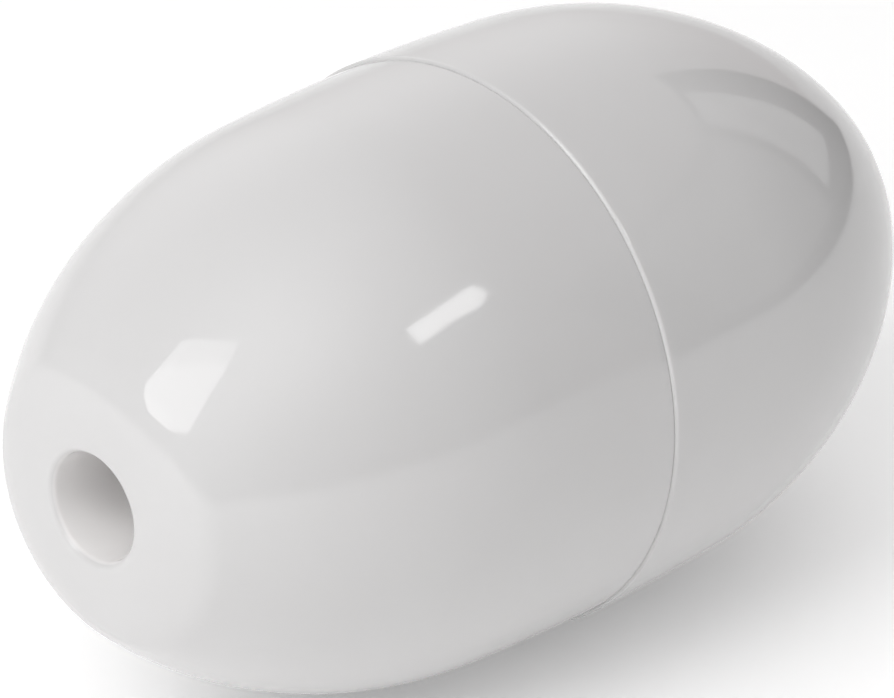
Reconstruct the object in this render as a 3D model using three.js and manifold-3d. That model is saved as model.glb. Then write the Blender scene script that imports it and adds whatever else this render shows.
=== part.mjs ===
// A two-part twist-lock rope float: an egg-shaped hard shell, 3 in by 5 in, with a plain bore from
// end to end. Each half is a moulded shell with its own guide tube, closed by a bulkhead. The front
// bulkhead carries a threaded spigot with a cone inside. The rear bulkhead carries the socket for it
// and holds a six-fingered collet. Screwing the halves together pushes the fingers down the cone and
// onto the rope.
//
// Millimetres, +Z up. The bore runs along X and the origin is on it, in the plane of the seam. The
// front half is on the -X side.
import * as THREE from 'three';
import { mergeVertices } from 'three/addons/utils/BufferGeometryUtils.js';
import Module from 'manifold-3d';

const wasm = await Module();
wasm.setup();

// ---- Driving dimensions ----
const BODY_RADIUS = 38.1; // widest, at the rear half's rim
const HALF_LENGTH = 63.5; // seam plane to end face
const BORE_RADIUS = 7.15; // passes a 1/2 in rope
const GRIP_RADIUS = 5.9; // between the closed fingers, so that they bite on that rope
const WALL = 2.6; // shells and bulkheads
const FIT = 0.3; // gap between two pieces that meet
const THREAD_LEAD = 12; // the halves part by this much in one turn
const THREAD_STARTS = 2;
const SPIGOT_RADIUS = 13.5; // the male thread's root
const FINGERS = 6;

// ---- Outline of the body ----
// Tangent arcs from the seam to the end face: belly, flank, shoulder and crown. Each ends at its
// slope against the bore. The belly and the crown take the radii that make the half come out at its
// exact length and end-face size.
const BELLY_TURN = THREE.MathUtils.degToRad(3.6);
const FLANK_TURN = THREE.MathUtils.degToRad(43.5);
const SHOULDER_TURN = THREE.MathUtils.degToRad(67);
const CROWN_TURN = THREE.MathUtils.degToRad(90);
const FLANK_RADIUS = 63.2;
const SHOULDER_RADIUS = 8;
const FACE_RADIUS = 9.6; // outer edge of the flat ring round the bore's mouth
const LIP_RADIUS = 1; // rounding from that ring into the bore
const RIM_STEP = 0.4; // the rear rim stands proud of the front one
const FRONT_CHAMFER = 0.25; // at the seam
const REAR_CHAMFER = 0.4;

// ---- Inside ----
const SEAM_FACE = FIT / 2; // seam plane to either rim
const REBATE_DEPTH = 0.8; // cut into the wall from inside, for the bulkhead's edge
const PLATE_FACE = SEAM_FACE + FIT; // seam plane to either bulkhead
const PLATE_BACK = PLATE_FACE + WALL;
const TUBE_RADIUS = BORE_RADIUS + 2;
const COLLAR_RADIUS = TUBE_RADIUS + FIT + 2; // round the guide tube's end
const COLLAR_LENGTH = 5;
const REGISTER_WIDTH = 1.6; // ring on the front bulkhead that centres the halves and shuts the seam
const REGISTER_REACH = 1.2; // past the seam plane

const CONE_START = -2.4; // narrow end of the cone
const SPIGOT_END = 13.6;
const CATCH_START = SPIGOT_END + FIT; // snap-in catch that holds the collet in the socket
const CATCH_END = CATCH_START + 0.6;
const CATCH_RADIUS = 11.5;
const RING_START = CATCH_END + FIT;
const RING_END = RING_START + 2.4;
const RING_RADIUS = CATCH_RADIUS + 0.9;
const SOCKET_FLOOR = RING_END + FIT;
const SOCKET_BACK = SOCKET_FLOOR + WALL;
const WEB_THICKNESS = 2.3; // at the narrow end of the cone

const THREAD_HEIGHT = 1.5;
const RIDGE_ROOT = 3; // width of a ridge at its root
const RIDGE_CREST = 1.8;
const RIDGE_START = 2.2; // middle of a ridge at its two ends, along X
const RIDGE_END = 12;
const RUN_OUT = 0.06; // turns over which a ridge rises from the root
const BURIED = 0.4; // how far a joined solid reaches into its neighbour
const SOCKET_WALL = 2.2;

const GUSSETS = 6;
const GUSSET_THICKNESS = 1.6;
const GUSSET_REACH = 13; // out along the bulkhead from the collar or the socket

// ---- Collet ----
// The fingers open with the twist: over one turn their tips follow the cone outwards.
const FINGER_TIP = CONE_START + 0.4;
const FINGER_ROOT = RING_START - FIT;
const TIP_RADIUS = 8.6; // outside of the closed fingers at the tip
const CONE_SLOPE = 1.49 / THREAD_LEAD;
const PAD_LENGTH = 6;
const STEM_INNER = BORE_RADIUS + 0.2;
const STEM_OUTER = STEM_INNER + 1.8;
const TOOTH_COUNT = 3;
const TOOTH_HEIGHT = 0.6;
const SLIT = 2; // between two fingers
const KEYS = 3; // ribs in every second slit, which stop the collet from turning
const KEY_THICKNESS = 1.2;

// ---- Roundness ----
const ROUND = 48; // sides of a full circle
const OUTER_STEPS = [2, 8, 3, 3]; // belly, flank, shoulder, crown
const INNER_STEPS = [1, 4, 1, 1];
const LIP_STEPS = 3;

const { sin, cos, tan, PI } = Math;

// Turns an outline of [x, radius] corners about the X axis. The outside is listed towards +X. The
// flats of the many-sided ring stand at the outline's radius, one of them straight below the axis.
function revolve(outline) {
  const spread = 1 / cos(PI / ROUND);
  const corners = [...outline, outline[0]];
  const points = corners.map(([x, radius]) => new THREE.Vector2(radius * spread, x));
  return new THREE.LatheGeometry(points, ROUND, PI / ROUND).rotateZ(-PI / 2);
}

function toSolid(geometry) {
  const bare = geometry.clone();
  bare.deleteAttribute('normal');
  bare.deleteAttribute('uv');
  const merged = mergeVertices(bare, 1e-4);
  return new wasm.Manifold(new wasm.Mesh({
    numProp: 3,
    vertProperties: merged.attributes.position.array,
    triVerts: Uint32Array.from(merged.index.array),
  }));
}

function toGeometry(solid) {
  const mesh = solid.getMesh();
  const geometry = new THREE.BufferGeometry();
  geometry.setAttribute('position', new THREE.BufferAttribute(mesh.vertProperties, 3));
  geometry.setIndex(new THREE.BufferAttribute(mesh.triVerts, 1));
  geometry.computeVertexNormals();
  return geometry;
}

// Corners of the body's outline from seam to end face, set in from the surface by inset.
function endCurve(rimRadius, inset, steps) {
  const flankDrop = FLANK_RADIUS * (cos(BELLY_TURN) - cos(FLANK_TURN));
  const shoulderDrop = SHOULDER_RADIUS * (cos(FLANK_TURN) - cos(SHOULDER_TURN));
  const drop = rimRadius - FACE_RADIUS - flankDrop - shoulderDrop;
  const flankRun = FLANK_RADIUS * (sin(FLANK_TURN) - sin(BELLY_TURN));
  const shoulderRun = SHOULDER_RADIUS * (sin(SHOULDER_TURN) - sin(FLANK_TURN));
  const run = HALF_LENGTH - flankRun - shoulderRun;
  const bellyDrop = 1 - cos(BELLY_TURN);
  const crownRatio = (1 - sin(SHOULDER_TURN)) / cos(SHOULDER_TURN);
  const bellyRadius = (run - drop * crownRatio) / (sin(BELLY_TURN) - bellyDrop * crownRatio);
  const crownRadius = (drop - bellyRadius * bellyDrop) / cos(SHOULDER_TURN);
  const arcs = [
    [bellyRadius, BELLY_TURN],
    [FLANK_RADIUS, FLANK_TURN],
    [SHOULDER_RADIUS, SHOULDER_TURN],
    [crownRadius, CROWN_TURN],
  ];
  const corners = [];
  let start = [0, rimRadius - inset];
  let startTurn = 0;
  arcs.forEach(([fullRadius, endTurn], index) => {
    const radius = fullRadius - inset;
    for (let step = 1; step <= steps[index]; step += 1) {
      const turn = startTurn + (endTurn - startTurn) * step / steps[index];
      const x = start[0] + radius * (sin(turn) - sin(startTurn));
      corners.push([x, start[1] - radius * (cos(startTurn) - cos(turn))]);
    }
    start = corners.at(-1);
    startTurn = endTurn;
  });
  return corners;
}

// One half's shell with its guide tube, lying towards +X from the seam.
function shell(rimRadius, chamfer, tubeEnd) {
  const rebateRadius = rimRadius - WALL + REBATE_DEPTH;
  const ledge = PLATE_BACK + FIT;
  const lip = [];
  for (let step = 0; step <= LIP_STEPS; step += 1) {
    const turn = step / LIP_STEPS * PI / 2;
    const x = HALF_LENGTH - LIP_RADIUS * (1 - cos(turn));
    lip.push([x, BORE_RADIUS + LIP_RADIUS * (1 - sin(turn))]);
  }
  return revolve([
    [SEAM_FACE, rebateRadius],
    [SEAM_FACE, rimRadius - chamfer],
    [SEAM_FACE + chamfer, rimRadius],
    ...endCurve(rimRadius, 0, OUTER_STEPS),
    ...lip,
    [tubeEnd, BORE_RADIUS],
    [tubeEnd, TUBE_RADIUS],
    [HALF_LENGTH - WALL, TUBE_RADIUS],
    ...endCurve(rimRadius, WALL, INNER_STEPS).reverse(),
    [ledge, rimRadius - WALL],
    [ledge, rebateRadius],
  ]);
}

function plateRadius(rimRadius) {
  return rimRadius - WALL + REBATE_DEPTH - FIT;
}

// A straight bar with the ridge's section, wrapped round the axis as a right-handed helix.
function ridge(from, to, clearance, phase) {
  const base = SPIGOT_RADIUS - BURIED;
  const crest = SPIGOT_RADIUS + THREAD_HEIGHT + clearance;
  const section = new THREE.Shape([
    new THREE.Vector2(-RIDGE_ROOT / 2 - clearance, base),
    new THREE.Vector2(RIDGE_ROOT / 2 + clearance, base),
    new THREE.Vector2(RIDGE_CREST / 2 + clearance, crest),
    new THREE.Vector2(-RIDGE_CREST / 2 - clearance, crest),
  ]);
  const turns = (to - from) / THREAD_LEAD;
  const steps = Math.round(turns * ROUND);
  const bar = new THREE.ExtrudeGeometry(section, { depth: turns, steps, bevelEnabled: false });
  const corners = bar.attributes.position;
  for (let index = 0; index < corners.count; index += 1) {
    const turned = corners.getZ(index);
    const rise = clearance > 0 ? 1 : Math.min(1, Math.min(turned, turns - turned) / RUN_OUT);
    const radius = base + (corners.getY(index) - base) * (BURIED / 2 + rise) / (BURIED / 2 + 1);
    const angle = phase + turned * 2 * PI;
    const x = from + turned * THREAD_LEAD + corners.getX(index);
    corners.setXYZ(index, x, radius * cos(angle), radius * sin(angle));
  }
  return toSolid(bar);
}

function threadPhase(start, from) {
  return 2 * PI * (start / THREAD_STARTS + from / THREAD_LEAD);
}

// A three-cornered rib in the XZ plane that braces a bulkhead, from radius out along its back.
function gusset(radius, plateX, farX) {
  const outline = new THREE.Shape([
    new THREE.Vector2(plateX, radius - BURIED),
    new THREE.Vector2(plateX, radius + GUSSET_REACH),
    new THREE.Vector2(farX, radius + BURIED),
    new THREE.Vector2(farX, radius - BURIED),
  ]);
  const rib = new THREE.ExtrudeGeometry(outline, { depth: GUSSET_THICKNESS, bevelEnabled: false });
  return toSolid(rib.translate(0, 0, -GUSSET_THICKNESS / 2).rotateX(PI / 2));
}

// Adds copies of a solid, spaced evenly round the X axis, the first one turned by firstAngle degrees.
function addAround(body, solid, count, firstAngle) {
  let joined = body;
  for (let index = 0; index < count; index += 1) {
    joined = joined.add(solid.rotate([firstAngle + 360 * index / count, 0, 0]));
  }
  return joined;
}

function coneRadius(x) {
  return TIP_RADIUS + FIT + (x - FINGER_TIP) * CONE_SLOPE;
}

// A rib standing in from the cone's wall, which runs in the slit between two fingers.
function key() {
  const outline = new THREE.Shape([
    new THREE.Vector2(CONE_START - BURIED, STEM_INNER),
    new THREE.Vector2(SPIGOT_END - KEY_THICKNESS, STEM_INNER),
    new THREE.Vector2(SPIGOT_END, STEM_INNER + KEY_THICKNESS),
    new THREE.Vector2(SPIGOT_END, coneRadius(SPIGOT_END) + BURIED),
    new THREE.Vector2(CONE_START - BURIED, coneRadius(CONE_START) + BURIED),
  ]);
  const rib = new THREE.ExtrudeGeometry(outline, { depth: KEY_THICKNESS, bevelEnabled: false });
  return toSolid(rib.translate(0, 0, -KEY_THICKNESS / 2).rotateX(PI / 2));
}

// Closes the front half: plate, collar for the guide tube, and the threaded spigot with its cone.
function frontBulkhead() {
  const webBack = CONE_START - WEB_THICKNESS;
  const collarEnd = webBack - FIT - COLLAR_LENGTH;
  const edge = plateRadius(BODY_RADIUS - RIM_STEP);
  let body = toSolid(revolve([
    [collarEnd, TUBE_RADIUS + FIT],
    [collarEnd, COLLAR_RADIUS],
    [-PLATE_BACK, COLLAR_RADIUS],
    [-PLATE_BACK, edge],
    [REGISTER_REACH, edge],
    [REGISTER_REACH, edge - REGISTER_WIDTH],
    [-PLATE_FACE, edge - REGISTER_WIDTH],
    [-PLATE_FACE, SPIGOT_RADIUS],
    [SPIGOT_END - WALL / 2, SPIGOT_RADIUS],
    [SPIGOT_END, SPIGOT_RADIUS - WALL / 2],
    [SPIGOT_END, coneRadius(SPIGOT_END)],
    [CONE_START, coneRadius(CONE_START)],
    [CONE_START, BORE_RADIUS],
    [webBack, BORE_RADIUS],
    [webBack, TUBE_RADIUS + FIT],
  ]));
  for (let start = 0; start < THREAD_STARTS; start += 1) {
    body = body.add(ridge(RIDGE_START, RIDGE_END, 0, threadPhase(start, RIDGE_START)));
  }
  body = addAround(body, gusset(COLLAR_RADIUS, -PLATE_BACK + BURIED, collarEnd), GUSSETS, 0);
  return toGeometry(addAround(body, key(), KEYS, 180 / FINGERS));
}

// Closes the rear half: plate, threaded socket with the collet's groove, and the tube's collar.
function rearBulkhead() {
  const mouth = SPIGOT_RADIUS + FIT;
  const wallRadius = mouth + THREAD_HEIGHT + SOCKET_WALL;
  const collarEnd = SOCKET_BACK + FIT + COLLAR_LENGTH;
  const edge = plateRadius(BODY_RADIUS);
  const rebate = plateRadius(BODY_RADIUS - RIM_STEP) - REGISTER_WIDTH - FIT;
  let body = toSolid(revolve([
    [PLATE_FACE, mouth + THREAD_HEIGHT / 2],
    [PLATE_FACE, rebate],
    [REGISTER_REACH + FIT, rebate],
    [REGISTER_REACH + FIT, edge],
    [PLATE_BACK, edge],
    [PLATE_BACK, wallRadius],
    [SOCKET_BACK, wallRadius],
    [SOCKET_BACK, COLLAR_RADIUS],
    [collarEnd, COLLAR_RADIUS],
    [collarEnd, TUBE_RADIUS + FIT],
    [SOCKET_BACK, TUBE_RADIUS + FIT],
    [SOCKET_BACK, BORE_RADIUS],
    [SOCKET_FLOOR, BORE_RADIUS],
    [SOCKET_FLOOR, RING_RADIUS + FIT],
    [CATCH_END, RING_RADIUS + FIT],
    [CATCH_END, CATCH_RADIUS],
    [CATCH_START, CATCH_RADIUS],
    [CATCH_START, mouth],
    [PLATE_FACE + THREAD_HEIGHT / 2, mouth],
  ]));
  const outside = RIDGE_START - THREAD_LEAD / 2;
  const inside = RIDGE_END + FIT;
  for (let start = 0; start < THREAD_STARTS; start += 1) {
    body = body.subtract(ridge(outside, inside, FIT, threadPhase(start, outside)));
  }
  const gussetEnd = SOCKET_BACK - WALL;
  return toGeometry(addAround(body, gusset(wallRadius, PLATE_BACK - BURIED, gussetEnd), GUSSETS, 0));
}

function colletRing() {
  return revolve([
    [RING_START, BORE_RADIUS],
    [RING_START, RING_RADIUS],
    [RING_END, RING_RADIUS],
    [RING_END, BORE_RADIUS],
  ]);
}

// One closed finger, straight below the bore: a springy stem with a toothed pad at its tip.
function colletFinger() {
  const padEnd = FINGER_TIP + PAD_LENGTH;
  const pitch = PAD_LENGTH / TOOTH_COUNT;
  const teeth = [];
  for (let tooth = 0; tooth < TOOTH_COUNT; tooth += 1) {
    const x = padEnd - tooth * pitch;
    teeth.push([x, GRIP_RADIUS + TOOTH_HEIGHT]);
    teeth.push([x - pitch * 2 / 3, GRIP_RADIUS]);
  }
  const ring = toSolid(revolve([
    [FINGER_TIP, GRIP_RADIUS + TOOTH_HEIGHT],
    [FINGER_TIP, TIP_RADIUS],
    [padEnd, TIP_RADIUS + PAD_LENGTH * CONE_SLOPE],
    [padEnd + pitch, STEM_OUTER],
    [FINGER_ROOT, STEM_OUTER],
    [FINGER_ROOT, STEM_INNER],
    [padEnd + pitch, STEM_INNER],
    ...teeth,
  ]));
  const halfAngle = PI / FINGERS;
  const apex = SLIT / 2 / sin(halfAngle);
  const spread = (BODY_RADIUS - apex) * tan(halfAngle);
  const sector = new THREE.Shape([
    new THREE.Vector2(apex, 0),
    new THREE.Vector2(BODY_RADIUS, -spread),
    new THREE.Vector2(BODY_RADIUS, spread),
  ]);
  const wedge = new THREE.ExtrudeGeometry(sector, { depth: HALF_LENGTH, bevelEnabled: false });
  wedge.rotateY(PI / 2).translate(-HALF_LENGTH / 2, 0, 0);
  return toGeometry(ring.intersect(toSolid(wedge)));
}

// ---- Assembly ----
const GLOSS_WHITE = { color: 0xe9e7e4, roughness: 0.16, metalness: 0 };
const MATT_WHITE = { color: 0xdedcd7, roughness: 0.45, metalness: 0 };
const NATURAL_NYLON = { color: 0xd8d0bb, roughness: 0.5, metalness: 0 };

function piece(name, geometry, look) {
  const mesh = new THREE.Mesh(geometry, new THREE.MeshStandardMaterial(look));
  mesh.name = name;
  return mesh;
}

function frontHalf() {
  const half = new THREE.Group();
  const tubeEnd = -CONE_START + WEB_THICKNESS + FIT;
  const frontShell = shell(BODY_RADIUS - RIM_STEP, FRONT_CHAMFER, tubeEnd);
  const shellMesh = piece('front_shell', frontShell, GLOSS_WHITE);
  shellMesh.rotation.z = PI;
  half.add(shellMesh, piece('front_bulkhead', frontBulkhead(), MATT_WHITE));
  return half;
}

function rearHalf() {
  const half = new THREE.Group();
  const rearShell = shell(BODY_RADIUS, REAR_CHAMFER, SOCKET_BACK + FIT);
  half.add(piece('rear_shell', rearShell, GLOSS_WHITE));
  half.add(piece('rear_bulkhead', rearBulkhead(), MATT_WHITE));
  return half;
}

function collet() {
  const group = new THREE.Group();
  group.add(piece('collet_ring', colletRing(), NATURAL_NYLON));
  const finger = colletFinger();
  for (let index = 0; index < FINGERS; index += 1) {
    const mesh = piece(`collet_finger_${index + 1}`, finger, NATURAL_NYLON);
    mesh.rotation.x = index * 2 * PI / FINGERS;
    group.add(mesh);
  }
  return group;
}

const float = new THREE.Group();
float.add(frontHalf(), rearHalf(), collet());

export default float;
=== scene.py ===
from math import asin, cos, pi, radians, sin, tan

import bmesh
import bpy
from mathutils import Matrix, Vector


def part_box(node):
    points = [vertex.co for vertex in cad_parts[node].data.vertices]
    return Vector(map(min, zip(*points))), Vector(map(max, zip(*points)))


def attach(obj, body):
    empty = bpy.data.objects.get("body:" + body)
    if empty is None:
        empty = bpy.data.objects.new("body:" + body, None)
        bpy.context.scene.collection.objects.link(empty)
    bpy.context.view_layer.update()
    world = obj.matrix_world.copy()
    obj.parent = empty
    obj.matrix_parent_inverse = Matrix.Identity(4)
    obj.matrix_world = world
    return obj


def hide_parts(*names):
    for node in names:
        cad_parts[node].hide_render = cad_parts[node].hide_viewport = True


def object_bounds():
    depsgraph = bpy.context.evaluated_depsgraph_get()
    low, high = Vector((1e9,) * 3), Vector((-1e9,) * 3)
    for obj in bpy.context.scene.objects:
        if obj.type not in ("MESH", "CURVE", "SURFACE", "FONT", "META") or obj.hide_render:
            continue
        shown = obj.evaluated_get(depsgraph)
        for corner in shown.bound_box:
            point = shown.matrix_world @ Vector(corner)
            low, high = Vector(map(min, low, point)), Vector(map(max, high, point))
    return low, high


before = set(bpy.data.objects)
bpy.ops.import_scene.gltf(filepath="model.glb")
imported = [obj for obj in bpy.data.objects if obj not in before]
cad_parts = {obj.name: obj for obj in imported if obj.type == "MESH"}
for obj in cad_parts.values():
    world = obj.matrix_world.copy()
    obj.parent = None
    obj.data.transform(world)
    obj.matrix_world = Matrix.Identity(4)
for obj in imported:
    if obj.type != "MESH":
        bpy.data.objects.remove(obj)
cad_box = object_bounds()

# ---- The float, in metres ----
# The bore runs along X and the origin is on it, in the plane of the seam. Sizes come from the frame
# where a node's box gives them, and otherwise repeat the part's driving dimensions.
MM = 0.001
HALF_LENGTH = cad_box[1][0]
BODY_RADIUS = cad_box[1][2]
FRONT_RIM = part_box("front_shell")[1][2]
SEAM_FACE = -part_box("front_shell")[1][0]
FIT = 2 * SEAM_FACE
CLOSED_SEAM = 0.02 * MM  # seam plane to either rim once the halves are screwed tight
FRONT_ROUND = 0.1 * MM  # rounding of the front half's rim
REAR_ROUND = 0.5 * MM  # rounding of the rear half's proud rim
WALL = 2.6 * MM
BORE_RADIUS = 7.15 * MM
TUBE_RADIUS = BORE_RADIUS + 2 * MM
COLLAR_RADIUS = TUBE_RADIUS + FIT + 2 * MM
REBATE = 0.8 * MM

# Slopes and radii of the body's outline: belly, flank, shoulder, crown
BELLY_TURN = radians(3.6)
FLANK_TURN = radians(43.5)
SHOULDER_TURN = radians(67)
CROWN_TURN = radians(90)
FLANK_RADIUS = 63.2 * MM
SHOULDER_RADIUS = 8 * MM
FACE_RADIUS = 9.6 * MM
LIP_RADIUS = 1 * MM

# Bulkheads
PLATE_FACE = SEAM_FACE + FIT
PLATE_BACK = PLATE_FACE + WALL
COLLAR_LENGTH = 5 * MM
FRONT_COLLAR_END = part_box("front_bulkhead")[0][0]
REAR_COLLAR_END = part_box("rear_bulkhead")[1][0]
REGISTER_WIDTH = 1.6 * MM
REGISTER_REACH = 1.2 * MM
GUSSETS = 6
GUSSET_THICKNESS = 1.6 * MM
GUSSET_REACH = 13 * MM
BURIED = 0.4 * MM  # how far a joined solid reaches into its neighbour

# Thread
THREAD_LEAD = 12 * MM
THREAD_STARTS = 2
THREAD_HEIGHT = 1.5 * MM
SPIGOT_RADIUS = 13.5 * MM
SPIGOT_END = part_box("front_bulkhead")[1][0]
RIDGE_ROOT = 3 * MM
RIDGE_CREST = 1.8 * MM
RIDGE_START = 2.2 * MM
RIDGE_END = 12 * MM
RUN_OUT = 0.06  # turns over which a ridge rises from the root
RUN_OUT_START = 0.2  # share of its height that a ridge has at its end
SOCKET_WALL = 2.2 * MM

# Collet, and the cone that closes it
FINGERS = 6
FINGER_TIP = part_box("collet_finger_1")[0][0]
FINGER_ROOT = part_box("collet_finger_1")[1][0]
TIP_RADIUS = 8.6 * MM
GRIP_RADIUS = 5.9 * MM
CONE_SLOPE = 1.49 * MM / THREAD_LEAD
CONE_START = FINGER_TIP - 0.4 * MM
PAD_LENGTH = 6 * MM
STEM_INNER = BORE_RADIUS + 0.2 * MM
STEM_OUTER = STEM_INNER + 1.8 * MM
TOOTH_COUNT = 3
TOOTH_HEIGHT = 0.6 * MM
TOOTH_SLOPE = 2 / 3  # share of a tooth's pitch that its long side takes
SLIT = 2 * MM
KEYS = 3
KEY_THICKNESS = 1.2 * MM
RING_START, RING_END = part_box("collet_ring")[0][0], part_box("collet_ring")[1][0]
RING_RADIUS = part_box("collet_ring")[1][2]
CATCH_END = RING_START - FIT
CATCH_START = SPIGOT_END + FIT
CATCH_RADIUS = 11.5 * MM

# Fineness of the meshes, in steps
AROUND = 240
FINGER_STEPS = 24
OUTER_STEPS = (20, 44, 16, 16)  # belly, flank, shoulder, crown
INNER_STEPS = (6, 16, 6, 6)
RIM_STEPS = 8
LIP_STEPS = 12
EDGE_STEPS = 4
RIDGE_EDGE_STEPS = 3

# Edges: rounding, sharpest bend that stays unrounded, share of a side that a rounding may take, and
# the largest angle between faces that is shaded smooth
EDGE = 0.25 * MM
STRAIGHT = radians(15)
SIDE_SHARE = 1 / 2.2
SMOOTH_ANGLE = radians(35)


# ---- Camera ----
CAMERA_AZIMUTH = radians(-45)
CAMERA_ELEVATION = radians(26.6)
CAMERA_DISTANCE = 24 * BODY_RADIUS
CAMERA_RIGHT = -0.041 * BODY_RADIUS
CAMERA_UP = -0.0167 * BODY_RADIUS
FRAME_WIDTH = 2.984 * BODY_RADIUS  # seen at the float's distance
SENSOR_WIDTH = 36.0


def make_camera():
    back = Vector((
        sin(CAMERA_AZIMUTH) * cos(CAMERA_ELEVATION),
        -cos(CAMERA_AZIMUTH) * cos(CAMERA_ELEVATION),
        sin(CAMERA_ELEVATION),
    ))
    right = Vector((cos(CAMERA_AZIMUTH), sin(CAMERA_AZIMUTH), 0))
    up = back.cross(right)
    data = bpy.data.cameras.new("camera")
    data.sensor_width = SENSOR_WIDTH
    data.lens = SENSOR_WIDTH * CAMERA_DISTANCE / FRAME_WIDTH
    data.clip_start = 0.01
    place = back * CAMERA_DISTANCE + right * CAMERA_RIGHT + up * CAMERA_UP
    turn = Matrix((right, up, back)).transposed().to_4x4()
    camera = bpy.data.objects.new("camera", data)
    camera.matrix_world = Matrix.Translation(place) @ turn
    bpy.context.collection.objects.link(camera)
    bpy.context.scene.camera = camera


make_camera()


# ---- Outlines, as lists of (x, radius) in the half plane beside the bore ----
def arc(centre, radius, start, end, steps):
    """Points on an arc. Angles are in degrees from the +X direction towards larger radii."""
    angles = [radians(start + (end - start) * step / steps) for step in range(steps + 1)]
    return [(centre[0] + radius * cos(a), centre[1] + radius * sin(a)) for a in angles]


def body_curve(rim_radius, inset, steps):
    """The body's outline from the seam to the end face, set in from the surface by inset."""
    flank_drop = FLANK_RADIUS * (cos(BELLY_TURN) - cos(FLANK_TURN))
    shoulder_drop = SHOULDER_RADIUS * (cos(FLANK_TURN) - cos(SHOULDER_TURN))
    drop = rim_radius - FACE_RADIUS - flank_drop - shoulder_drop
    flank_run = FLANK_RADIUS * (sin(FLANK_TURN) - sin(BELLY_TURN))
    shoulder_run = SHOULDER_RADIUS * (sin(SHOULDER_TURN) - sin(FLANK_TURN))
    run = HALF_LENGTH - flank_run - shoulder_run
    belly_drop = 1 - cos(BELLY_TURN)
    crown_ratio = (1 - sin(SHOULDER_TURN)) / cos(SHOULDER_TURN)
    belly_radius = (run - drop * crown_ratio) / (sin(BELLY_TURN) - belly_drop * crown_ratio)
    crown_radius = (drop - belly_radius * belly_drop) / cos(SHOULDER_TURN)
    arcs = (
        (belly_radius, BELLY_TURN),
        (FLANK_RADIUS, FLANK_TURN),
        (SHOULDER_RADIUS, SHOULDER_TURN),
        (crown_radius, CROWN_TURN),
    )
    points = []
    x, r, turn = 0.0, rim_radius - inset, 0.0
    for (full_radius, end_turn), count in zip(arcs, steps):
        radius = full_radius - inset
        for step in range(1, count + 1):
            next_turn = turn + (end_turn - turn) * step / count
            points.append((
                x + radius * (sin(next_turn) - sin(turn)),
                r - radius * (cos(turn) - cos(next_turn)),
            ))
        x, r = points[-1]
        turn = end_turn
    return points


def rounded(outline, radius, steps=EDGE_STEPS):
    """The closed outline with its corners rounded, as far as the sides beside them allow."""
    points = []
    for index, here in enumerate(outline):
        corner = Vector(here)
        back = Vector(outline[index - 1]) - corner
        ahead = Vector(outline[(index + 1) % len(outline)]) - corner
        bend = pi - back.angle(ahead)
        if bend < STRAIGHT:
            points.append(here)
            continue
        room = min(back.length, ahead.length) * SIDE_SHARE
        reach = min(radius * tan(bend / 2), room)
        start = corner + back.normalized() * reach
        end = corner + ahead.normalized() * reach
        for step in range(steps + 1):
            t = step / steps
            point = start * (1 - t) ** 2 + corner * 2 * t * (1 - t) + end * t ** 2
            points.append(tuple(point))
    return points


def shell_outline(rim_radius, rim_round, tube_end):
    """A shell with its guide tube: outside, lip, bore, and back inside to the bulkhead's rebate."""
    rebate_radius = rim_radius - WALL + REBATE
    ledge = SEAM_FACE + 2 * FIT + WALL
    rim = arc((CLOSED_SEAM + rim_round, rim_radius - rim_round), rim_round, 180, 90, RIM_STEPS)
    lip_centre = (HALF_LENGTH - LIP_RADIUS, BORE_RADIUS + LIP_RADIUS)
    lip = arc(lip_centre, LIP_RADIUS, 0, -90, LIP_STEPS)
    tube = [(tube_end, BORE_RADIUS), (tube_end, TUBE_RADIUS), (HALF_LENGTH - WALL, TUBE_RADIUS)]
    outside = rim + body_curve(rim_radius, 0, OUTER_STEPS) + lip
    inside = body_curve(rim_radius, WALL, INNER_STEPS)[::-1]
    seat = [(ledge, rim_radius - WALL), (ledge, rebate_radius), (CLOSED_SEAM, rebate_radius)]
    return rounded(outside + tube + inside + seat, EDGE)


# ---- Mesh building ----
def shade_smooth(mesh):
    for face in mesh.polygons:
        face.use_smooth = True
    mesh.set_sharp_from_angle(angle=SMOOTH_ANGLE)


def add_piece(name, build):
    """Finishes a bmesh as a linked object with outward faces, smooth except at sharp edges."""
    bmesh.ops.recalc_face_normals(build, faces=build.faces[:])
    mesh = bpy.data.meshes.new(name)
    build.to_mesh(mesh)
    build.free()
    shade_smooth(mesh)
    piece = bpy.data.objects.new(name, mesh)
    bpy.context.collection.objects.link(piece)
    return piece


def bridge(build, here, there):
    """Faces between two closed rows of vertices."""
    for index in range(len(here)):
        after = (index + 1) % len(here)
        build.faces.new((here[index], there[index], there[after], here[after]))


def revolve(name, outline, sign=1):
    """A closed outline turned about the bore. sign -1 mirrors it to the front half."""
    build = bmesh.new()
    rows = []
    for step in range(AROUND):
        angle = 2 * pi * step / AROUND
        corners = [(sign * x, r * sin(angle), r * cos(angle)) for x, r in outline]
        rows.append([build.verts.new(corner) for corner in corners])
    for step in range(AROUND):
        bridge(build, rows[step], rows[(step + 1) % AROUND])
    return add_piece(name, build)


def prism(name, outline, thickness, angle):
    """An outline of (x, radius) with that thickness across, turned about the bore by angle degrees."""
    build = bmesh.new()
    rows = []
    for side in (-thickness / 2, thickness / 2):
        rows.append([build.verts.new((x, side, r)) for x, r in outline])
    bridge(build, *rows)
    for row in rows:
        build.faces.new(row)
    bmesh.ops.rotate(build, verts=build.verts[:], matrix=Matrix.Rotation(radians(angle), 3, "X"))
    return add_piece(name, build)


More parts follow.
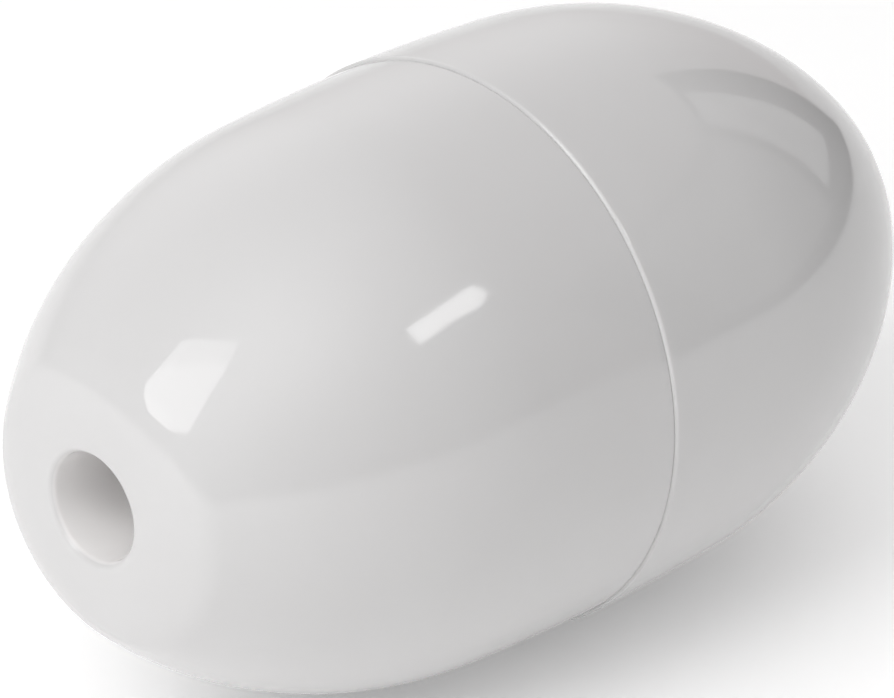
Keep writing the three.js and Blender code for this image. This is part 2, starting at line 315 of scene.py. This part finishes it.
def ridge(name, start, end, clearance, phase):
    """One start of the thread, as a right-handed helix about the bore. Its ends run out."""
    base = SPIGOT_RADIUS - BURIED
    height = BURIED + THREAD_HEIGHT + clearance
    section = rounded([
        (-RIDGE_ROOT / 2 - clearance, 0.0),
        (RIDGE_ROOT / 2 + clearance, 0.0),
        (RIDGE_CREST / 2 + clearance, height),
        (-RIDGE_CREST / 2 - clearance, height),
    ], EDGE, RIDGE_EDGE_STEPS)
    turns = (end - start) / THREAD_LEAD
    steps = round(turns * AROUND)
    build = bmesh.new()
    rows = []
    for step in range(steps + 1):
        turned = turns * step / steps
        rise = min(1, RUN_OUT_START + min(turned, turns - turned) / RUN_OUT)
        if clearance > 0:
            rise = 1
        angle = phase + 2 * pi * turned
        row = []
        for x, up in section:
            radius = base + up * rise
            place = (start + turned * THREAD_LEAD + x, radius * cos(angle), radius * sin(angle))
            row.append(build.verts.new(place))
        rows.append(row)
    for here, there in zip(rows, rows[1:]):
        bridge(build, here, there)
    build.faces.new(rows[0])
    build.faces.new(rows[-1])
    return add_piece(name, build)


def thread_phase(start, x):
    """The angle about the bore at which one start of the thread passes x."""
    return 2 * pi * (start / THREAD_STARTS + x / THREAD_LEAD)


def combine(piece, tools, operation):
    """Joins the tools to the piece, or cuts them from it, and removes them."""
    for tool in tools:
        modifier = piece.modifiers.new("combine", "BOOLEAN")
        modifier.operation = operation
        modifier.solver = "MANIFOLD"
        modifier.object = tool
    depsgraph = bpy.context.evaluated_depsgraph_get()
    whole = bpy.data.meshes.new_from_object(piece.evaluated_get(depsgraph))
    piece.modifiers.clear()
    piece.data = whole
    shade_smooth(whole)
    for tool in tools:
        bpy.data.objects.remove(tool)


# ---- Materials ----
NOISE_RANGE = (0.3, 0.7)  # most of a noise texture's values lie in it
PLASTIC_IOR = 1.5
SHELL_LIGHT = (0.66, 0.655, 0.655)
SHELL_DARK = (0.645, 0.638, 0.638)
# Painted light: the paler white inside the bore stands in for light that comes through the plastic
BORE_PAINTED_LIGHT = (0.87, 0.855, 0.85)
BORE_BLEND = LIP_RADIUS / 4  # depth outside the bore over which the painted light ends


def fill_socket(owner, socket, value):
    """Links a socket to another, or sets its value."""
    if isinstance(value, bpy.types.NodeSocket):
        owner.node_tree.links.new(value, socket)
    else:
        socket.default_value = value


def add_node(owner, kind, **sockets):
    """Adds a node to a material or world. Its inputs are named with _ for a space."""
    node = owner.node_tree.nodes.new(kind)
    for name, value in sockets.items():
        fill_socket(owner, node.inputs[name.replace("_", " ")], value)
    return node


def add_operation(owner, kind, operation, *values):
    """Adds a Math or VectorMath node on values or sockets."""
    node = owner.node_tree.nodes.new(kind)
    node.operation = operation
    for socket, value in zip(node.inputs, values):
        fill_socket(owner, socket, value)
    return node


def noise(material, size, detail=2.0):
    """Noise in the piece's own space, whose blotches are about size across."""
    coordinates = add_node(material, "ShaderNodeTexCoord")
    return add_node(
        material, "ShaderNodeTexNoise",
        Vector=coordinates.outputs["Object"], Scale=1 / size, Detail=detail,
    ).outputs["Fac"]


def remap(material, value, low, high):
    """Noise stretched to run from low to high."""
    return add_node(
        material, "ShaderNodeMapRange", Value=value,
        From_Min=NOISE_RANGE[0], From_Max=NOISE_RANGE[1], To_Min=low, To_Max=high,
    ).outputs["Result"]


def paint_bore_light(material, color):
    """Blends to a paler white inside the bore, standing in for light that comes through the plastic."""
    coordinates = add_node(material, "ShaderNodeTexCoord").outputs["Object"]
    across = add_operation(material, "ShaderNodeVectorMath", "MULTIPLY", coordinates, (0, 1, 1))
    reach = add_operation(material, "ShaderNodeVectorMath", "LENGTH", across.outputs["Vector"])
    inside = add_node(
        material, "ShaderNodeMapRange", Value=reach.outputs["Value"],
        From_Min=BORE_RADIUS, From_Max=BORE_RADIUS + BORE_BLEND, To_Min=1.0, To_Max=0.0,
    )
    return add_node(
        material, "ShaderNodeMixRGB",
        Fac=inside.outputs["Result"], Color1=color, Color2=(*BORE_PAINTED_LIGHT, 1),
    ).outputs["Color"]


def plastic(name, light, dark, blotch, shine, relief, bore=False):
    """Moulded plastic: mottled between two colours, with uneven gloss and layers of relief. With bore
    set, light is painted into the colour inside the bore.

    shine is (roughness from, to, blotch size) and relief is a list of (blotch size, height).
    """
    material = bpy.data.materials.new(name)
    material.use_nodes = True
    shader = material.node_tree.nodes["Principled BSDF"]
    links = material.node_tree.links
    ramp = add_node(material, "ShaderNodeValToRGB", Fac=noise(material, blotch))
    for element, position, color in zip(ramp.color_ramp.elements, NOISE_RANGE, (dark, light)):
        element.position = position
        element.color = (*color, 1)
    color = ramp.outputs["Color"]
    # Painted light: the colour turns a paler white inside the bore
    if bore:
        color = paint_bore_light(material, color)
    links.new(color, shader.inputs["Base Color"])
    low, high, size = shine
    links.new(remap(material, noise(material, size), low, high), shader.inputs["Roughness"])
    normal = None
    for size, height in relief:
        bump = add_node(material, "ShaderNodeBump", Height=noise(material, size), Distance=height)
        if normal is not None:
            links.new(normal, bump.inputs["Normal"])
        normal = bump.outputs["Normal"]
    links.new(normal, shader.inputs["Normal"])
    shader.inputs["IOR"].default_value = PLASTIC_IOR
    return material


# The shells' colour carries painted light inside the bore
shell_gloss = plastic(
    "shell_gloss", SHELL_LIGHT, SHELL_DARK, 30 * MM,
    shine=(0.06, 0.10, 14 * MM),
    relief=((26 * MM, 0.10 * MM), (1.6 * MM, 0.0015 * MM)),
    bore=True,
)
bulkhead_matt = plastic(
    "bulkhead_matt", (0.68, 0.67, 0.64), (0.62, 0.61, 0.58), 9 * MM,
    shine=(0.34, 0.46, 6 * MM),
    relief=((8 * MM, 0.05 * MM), (0.5 * MM, 0.006 * MM)),
)
collet_nylon = plastic(
    "collet_nylon", (0.66, 0.60, 0.46), (0.58, 0.52, 0.39), 5 * MM,
    shine=(0.36, 0.5, 4 * MM),
    relief=((4 * MM, 0.03 * MM), (0.4 * MM, 0.006 * MM)),
)


# ---- Pieces ----
SLOT_MATERIALS = {
    "shell_plastic": shell_gloss,
    "bulkhead_plastic": bulkhead_matt,
    "collet_plastic": collet_nylon,
}


def finish_piece(piece, body, node, slot):
    """Gives the piece its material and puts it in place of a CAD node."""
    piece.data.materials.clear()
    piece.data.materials.append(SLOT_MATERIALS[slot])
    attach(piece, body)
    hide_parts(node)


def make_shells():
    front_tube_end = -FRONT_COLLAR_END - COLLAR_LENGTH
    front = revolve("front_shell_skin", shell_outline(FRONT_RIM, FRONT_ROUND, front_tube_end), -1)
    finish_piece(front, "front_half", "front_shell", "shell_plastic")
    rear_tube_end = REAR_COLLAR_END - COLLAR_LENGTH
    rear = revolve("rear_shell_skin", shell_outline(BODY_RADIUS, REAR_ROUND, rear_tube_end))
    finish_piece(rear, "rear_half", "rear_shell", "shell_plastic")


def plate_radius(rim_radius):
    """A bulkhead's plate, a fit smaller than the rebate it sits in."""
    return rim_radius - WALL + REBATE - FIT


def cone_radius(x):
    """The cone round the fingers, a fit wider than their pads."""
    return TIP_RADIUS + FIT + (x - FINGER_TIP) * CONE_SLOPE


def make_gussets(radius, plate_x, far_x):
    outline = [
        (plate_x, radius - BURIED),
        (plate_x, radius + GUSSET_REACH),
        (far_x, radius + BURIED),
        (far_x, radius - BURIED),
    ]
    angles = [360 * index / GUSSETS for index in range(GUSSETS)]
    return [prism("gusset", outline, GUSSET_THICKNESS, angle) for angle in angles]


def make_keys():
    outline = [
        (CONE_START - BURIED, STEM_INNER),
        (SPIGOT_END - KEY_THICKNESS, STEM_INNER),
        (SPIGOT_END, STEM_INNER + KEY_THICKNESS),
        (SPIGOT_END, cone_radius(SPIGOT_END) + BURIED),
        (CONE_START - BURIED, cone_radius(CONE_START) + BURIED),
    ]
    angles = [180 / FINGERS + 360 * index / KEYS for index in range(KEYS)]
    return [prism("key", outline, KEY_THICKNESS, angle) for angle in angles]


def make_ridges(start, end, clearance):
    return [
        ridge("ridge", start, end, clearance, thread_phase(index, start))
        for index in range(THREAD_STARTS)
    ]


def make_front_bulkhead():
    web_back = FRONT_COLLAR_END + COLLAR_LENGTH + FIT
    edge = plate_radius(FRONT_RIM)
    outline = rounded([
        (FRONT_COLLAR_END, TUBE_RADIUS + FIT),
        (FRONT_COLLAR_END, COLLAR_RADIUS),
        (-PLATE_BACK, COLLAR_RADIUS),
        (-PLATE_BACK, edge),
        (REGISTER_REACH, edge),
        (REGISTER_REACH, edge - REGISTER_WIDTH),
        (-PLATE_FACE, edge - REGISTER_WIDTH),
        (-PLATE_FACE, SPIGOT_RADIUS),
        (SPIGOT_END - WALL / 2, SPIGOT_RADIUS),
        (SPIGOT_END, SPIGOT_RADIUS - WALL / 2),
        (SPIGOT_END, cone_radius(SPIGOT_END)),
        (CONE_START, cone_radius(CONE_START)),
        (CONE_START, BORE_RADIUS),
        (web_back, BORE_RADIUS),
        (web_back, TUBE_RADIUS + FIT),
    ], EDGE)
    piece = revolve("front_bulkhead_moulding", outline)
    ridges = make_ridges(RIDGE_START, RIDGE_END, 0)
    gussets = make_gussets(COLLAR_RADIUS, -PLATE_BACK + BURIED, FRONT_COLLAR_END)
    combine(piece, ridges + gussets + make_keys(), "UNION")
    finish_piece(piece, "front_half", "front_bulkhead", "bulkhead_plastic")


def make_rear_bulkhead():
    mouth = SPIGOT_RADIUS + FIT
    wall_radius = mouth + THREAD_HEIGHT + SOCKET_WALL
    socket_floor = RING_END + FIT
    socket_back = socket_floor + WALL
    edge = plate_radius(BODY_RADIUS)
    rebate = plate_radius(FRONT_RIM) - REGISTER_WIDTH - FIT
    outline = rounded([
        (PLATE_FACE, mouth + THREAD_HEIGHT / 2),
        (PLATE_FACE, rebate),
        (REGISTER_REACH + FIT, rebate),
        (REGISTER_REACH + FIT, edge),
        (PLATE_BACK, edge),
        (PLATE_BACK, wall_radius),
        (socket_back, wall_radius),
        (socket_back, COLLAR_RADIUS),
        (REAR_COLLAR_END, COLLAR_RADIUS),
        (REAR_COLLAR_END, TUBE_RADIUS + FIT),
        (socket_back, TUBE_RADIUS + FIT),
        (socket_back, BORE_RADIUS),
        (socket_floor, BORE_RADIUS),
        (socket_floor, RING_RADIUS + FIT),
        (CATCH_END, RING_RADIUS + FIT),
        (CATCH_END, CATCH_RADIUS),
        (CATCH_START, CATCH_RADIUS),
        (CATCH_START, mouth),
        (PLATE_FACE + THREAD_HEIGHT / 2, mouth),
    ], EDGE)
    piece = revolve("rear_bulkhead_moulding", outline)
    combine(piece, make_ridges(RIDGE_START - THREAD_LEAD / 2, RIDGE_END + FIT, FIT), "DIFFERENCE")
    combine(piece, make_gussets(wall_radius, PLATE_BACK - BURIED, socket_back - WALL), "UNION")
    finish_piece(piece, "rear_half", "rear_bulkhead", "bulkhead_plastic")


def make_collet_ring():
    outline = rounded([
        (RING_START, BORE_RADIUS),
        (RING_START, RING_RADIUS),
        (RING_END, RING_RADIUS),
        (RING_END, BORE_RADIUS),
    ], EDGE)
    piece = revolve("collet_ring_moulding", outline)
    finish_piece(piece, "collet", "collet_ring", "collet_plastic")


def finger_outline():
    pad_end = FINGER_TIP + PAD_LENGTH
    pitch = PAD_LENGTH / TOOTH_COUNT
    outline = [
        (FINGER_TIP, GRIP_RADIUS + TOOTH_HEIGHT),
        (FINGER_TIP, TIP_RADIUS),
        (pad_end, TIP_RADIUS + PAD_LENGTH * CONE_SLOPE),
        (pad_end + pitch, STEM_OUTER),
        (FINGER_ROOT, STEM_OUTER),
        (FINGER_ROOT, STEM_INNER),
        (pad_end + pitch, STEM_INNER),
    ]
    for tooth in range(TOOTH_COUNT):
        x = pad_end - tooth * pitch
        outline.append((x, GRIP_RADIUS + TOOTH_HEIGHT))
        outline.append((x - pitch * TOOTH_SLOPE, GRIP_RADIUS))
    return rounded(outline, EDGE / 2)


def make_finger(number):
    """One closed finger. The first is straight below the bore, and slits keep them apart."""
    middle = 2 * pi * (number - 1) / FINGERS
    build = bmesh.new()
    rows = []
    for step in range(FINGER_STEPS + 1):
        row = []
        for x, r in finger_outline():
            half_angle = pi / FINGERS - asin(SLIT / 2 / r)
            angle = middle + half_angle * (2 * step / FINGER_STEPS - 1)
            row.append(build.verts.new((x, r * sin(angle), -r * cos(angle))))
        rows.append(row)
    for here, there in zip(rows, rows[1:]):
        bridge(build, here, there)
    build.faces.new(rows[0])
    build.faces.new(rows[-1])
    piece = add_piece(f"collet_finger_{number}_moulding", build)
    finish_piece(piece, f"finger_{number}", f"collet_finger_{number}", "collet_plastic")


make_shells()
make_front_bulkhead()
make_rear_bulkhead()
make_collet_ring()
for number in range(1, FINGERS + 1):
    make_finger(number)


# ---- Stage, in metres and degrees ----
WHITE = (1, 1, 1)
ROSY = (1.0, 0.93, 0.93)
CARD_ROUGHNESS = 0.9
FLOOR_Z = cad_box[0][2]
FLOOR_REACH = 10.0
FLOOR_SHADE = 0.95
FLOOR_GLOW = 0.17
LIGHT_DISTANCE = 0.9

# The light tent's glow, as soft lobes: azimuth, elevation, tightness, strength, tint
TENT = (
    (225, 55, 16, 1.5, WHITE),
    (60, 30, 16, 0.8, WHITE),
    (0, 90, 16, 0.85, WHITE),
    (0, 0, 4, 0.6, ROSY),
    (90, 0, 4, 0.4, WHITE),
    (200, 20, 16, 0.3, WHITE),
)

# Cards that shape the reflections beyond the far end: x, low and high y, low and high z, shade
FLAGS = {
    "dark_flag": (0.60, (-0.75, 0.16), (FLOOR_Z, 0.52), 0.02),
    "pale_flag": (0.58, (-0.10, 0.05), (0.05, 0.47), 0.75),
    "grey_flag": (0.58, (-0.60, -0.14), (0.02, 0.47), 0.30),
}

# Glowing panels, with corners at (azimuth, elevation)
KEY_UPPER_CORNERS = ((160, 58), (199, 62), (202, 55), (163, 51))
KEY_LOWER_CORNERS = ((163, 51), (202, 55), (204, 33), (180, 19), (167, 17))
STRIP_CORNERS = ((275, 48), (306, 47), (307, 42), (301, 40), (288, 42), (276, 41))
KEY_UPPER_GLOW = 3.2
KEY_LOWER_GLOW = 4.2
STRIP_GLOW = 6.0

FILL_AZIMUTH = 180
FILL_ELEVATION = 40
FILL_SIZE = 0.47
FILL_BRIGHTNESS = 7.5


def add_card(name, corners, shade, glow):
    """A flat matt card on the stage, of one shade and with a white glow."""
    material = bpy.data.materials.new(name)
    material.use_nodes = True
    shader = material.node_tree.nodes["Principled BSDF"]
    shader.inputs["Base Color"].default_value = (shade, shade, shade, 1)
    shader.inputs["Roughness"].default_value = CARD_ROUGHNESS
    shader.inputs["Specular IOR Level"].default_value = 0
    shader.inputs["Emission Color"].default_value = (*WHITE, 1)
    shader.inputs["Emission Strength"].default_value = glow
    mesh = bpy.data.meshes.new(name)
    mesh.from_pydata(corners, [], [range(len(corners))])
    mesh.materials.append(material)
    card = bpy.data.objects.new(name, mesh)
    bpy.context.collection.objects.link(card)
    return card


def make_floor():
    low, high = -FLOOR_REACH, FLOOR_REACH
    corners = [(low, low, FLOOR_Z), (high, low, FLOOR_Z), (high, high, FLOOR_Z), (low, high, FLOOR_Z)]
    add_card("floor", corners, FLOOR_SHADE, FLOOR_GLOW)


def make_flag(name, x, y_range, z_range, shade):
    (low_y, high_y), (low_z, high_z) = y_range, z_range
    corners = [(x, low_y, low_z), (x, high_y, low_z), (x, high_y, high_z), (x, low_y, high_z)]
    flag = add_card(name, corners, shade, 0)
    flag.visible_camera = False


def direction(azimuth, elevation):
    a, e = radians(azimuth), radians(elevation)
    return Vector((cos(a) * cos(e), sin(a) * cos(e), sin(e)))


def make_panel(name, corners, glow, lights_matt=True):
    """A glowing panel out of the camera's sight. One that doesn't light matt surfaces only shines."""
    places = [direction(*corner) * LIGHT_DISTANCE for corner in corners]
    panel = add_card(name, places, 0, glow)
    panel.visible_camera = False
    panel.visible_diffuse = lights_matt


def make_fill():
    """Soft light from the key's side that leaves no highlight of its own."""
    light = bpy.data.lights.new("key_fill", "AREA")
    light.shape = "SQUARE"
    light.size = FILL_SIZE
    light.energy = FILL_BRIGHTNESS * pi * FILL_SIZE ** 2
    fill = bpy.data.objects.new("key_fill", light)
    toward = direction(FILL_AZIMUTH, FILL_ELEVATION)
    fill.location = toward * LIGHT_DISTANCE
    fill.rotation_euler = toward.to_track_quat("Z", "Y").to_euler()
    fill.visible_glossy = False
    fill.visible_camera = False
    bpy.context.collection.objects.link(fill)


def make_tent():
    """The world: each lobe glows most in its own direction and fades to nothing opposite."""
    world = bpy.data.worlds.new("tent")
    bpy.context.scene.world = world
    world.use_nodes = True
    coordinates = add_node(world, "ShaderNodeTexCoord").outputs["Generated"]
    total = (0, 0, 0)
    for azimuth, elevation, tightness, strength, tint in TENT:
        toward = direction(azimuth, elevation)
        facing = add_operation(world, "ShaderNodeVectorMath", "DOT_PRODUCT", coordinates, toward)
        half = add_operation(world, "ShaderNodeMath", "MULTIPLY_ADD", facing.outputs["Value"], 0.5, 0.5)
        lobe = add_operation(world, "ShaderNodeMath", "POWER", half.outputs["Value"], tightness)
        color = [strength * part for part in tint]
        added = add_operation(
            world, "ShaderNodeVectorMath", "MULTIPLY_ADD", lobe.outputs["Value"], color, total,
        )
        total = added.outputs["Vector"]
    background = world.node_tree.nodes["Background"]
    background.inputs["Strength"].default_value = 1
    fill_socket(world, background.inputs["Color"], total)


make_floor()
make_tent()
for name, flag in FLAGS.items():
    make_flag(name, *flag)
make_panel("key_upper", KEY_UPPER_CORNERS, KEY_UPPER_GLOW)
make_panel("key_lower", KEY_LOWER_CORNERS, KEY_LOWER_GLOW)
make_panel("strip", STRIP_CORNERS, STRIP_GLOW, lights_matt=False)
make_fill()
bpy.context.scene.view_settings.view_transform = "Standard"
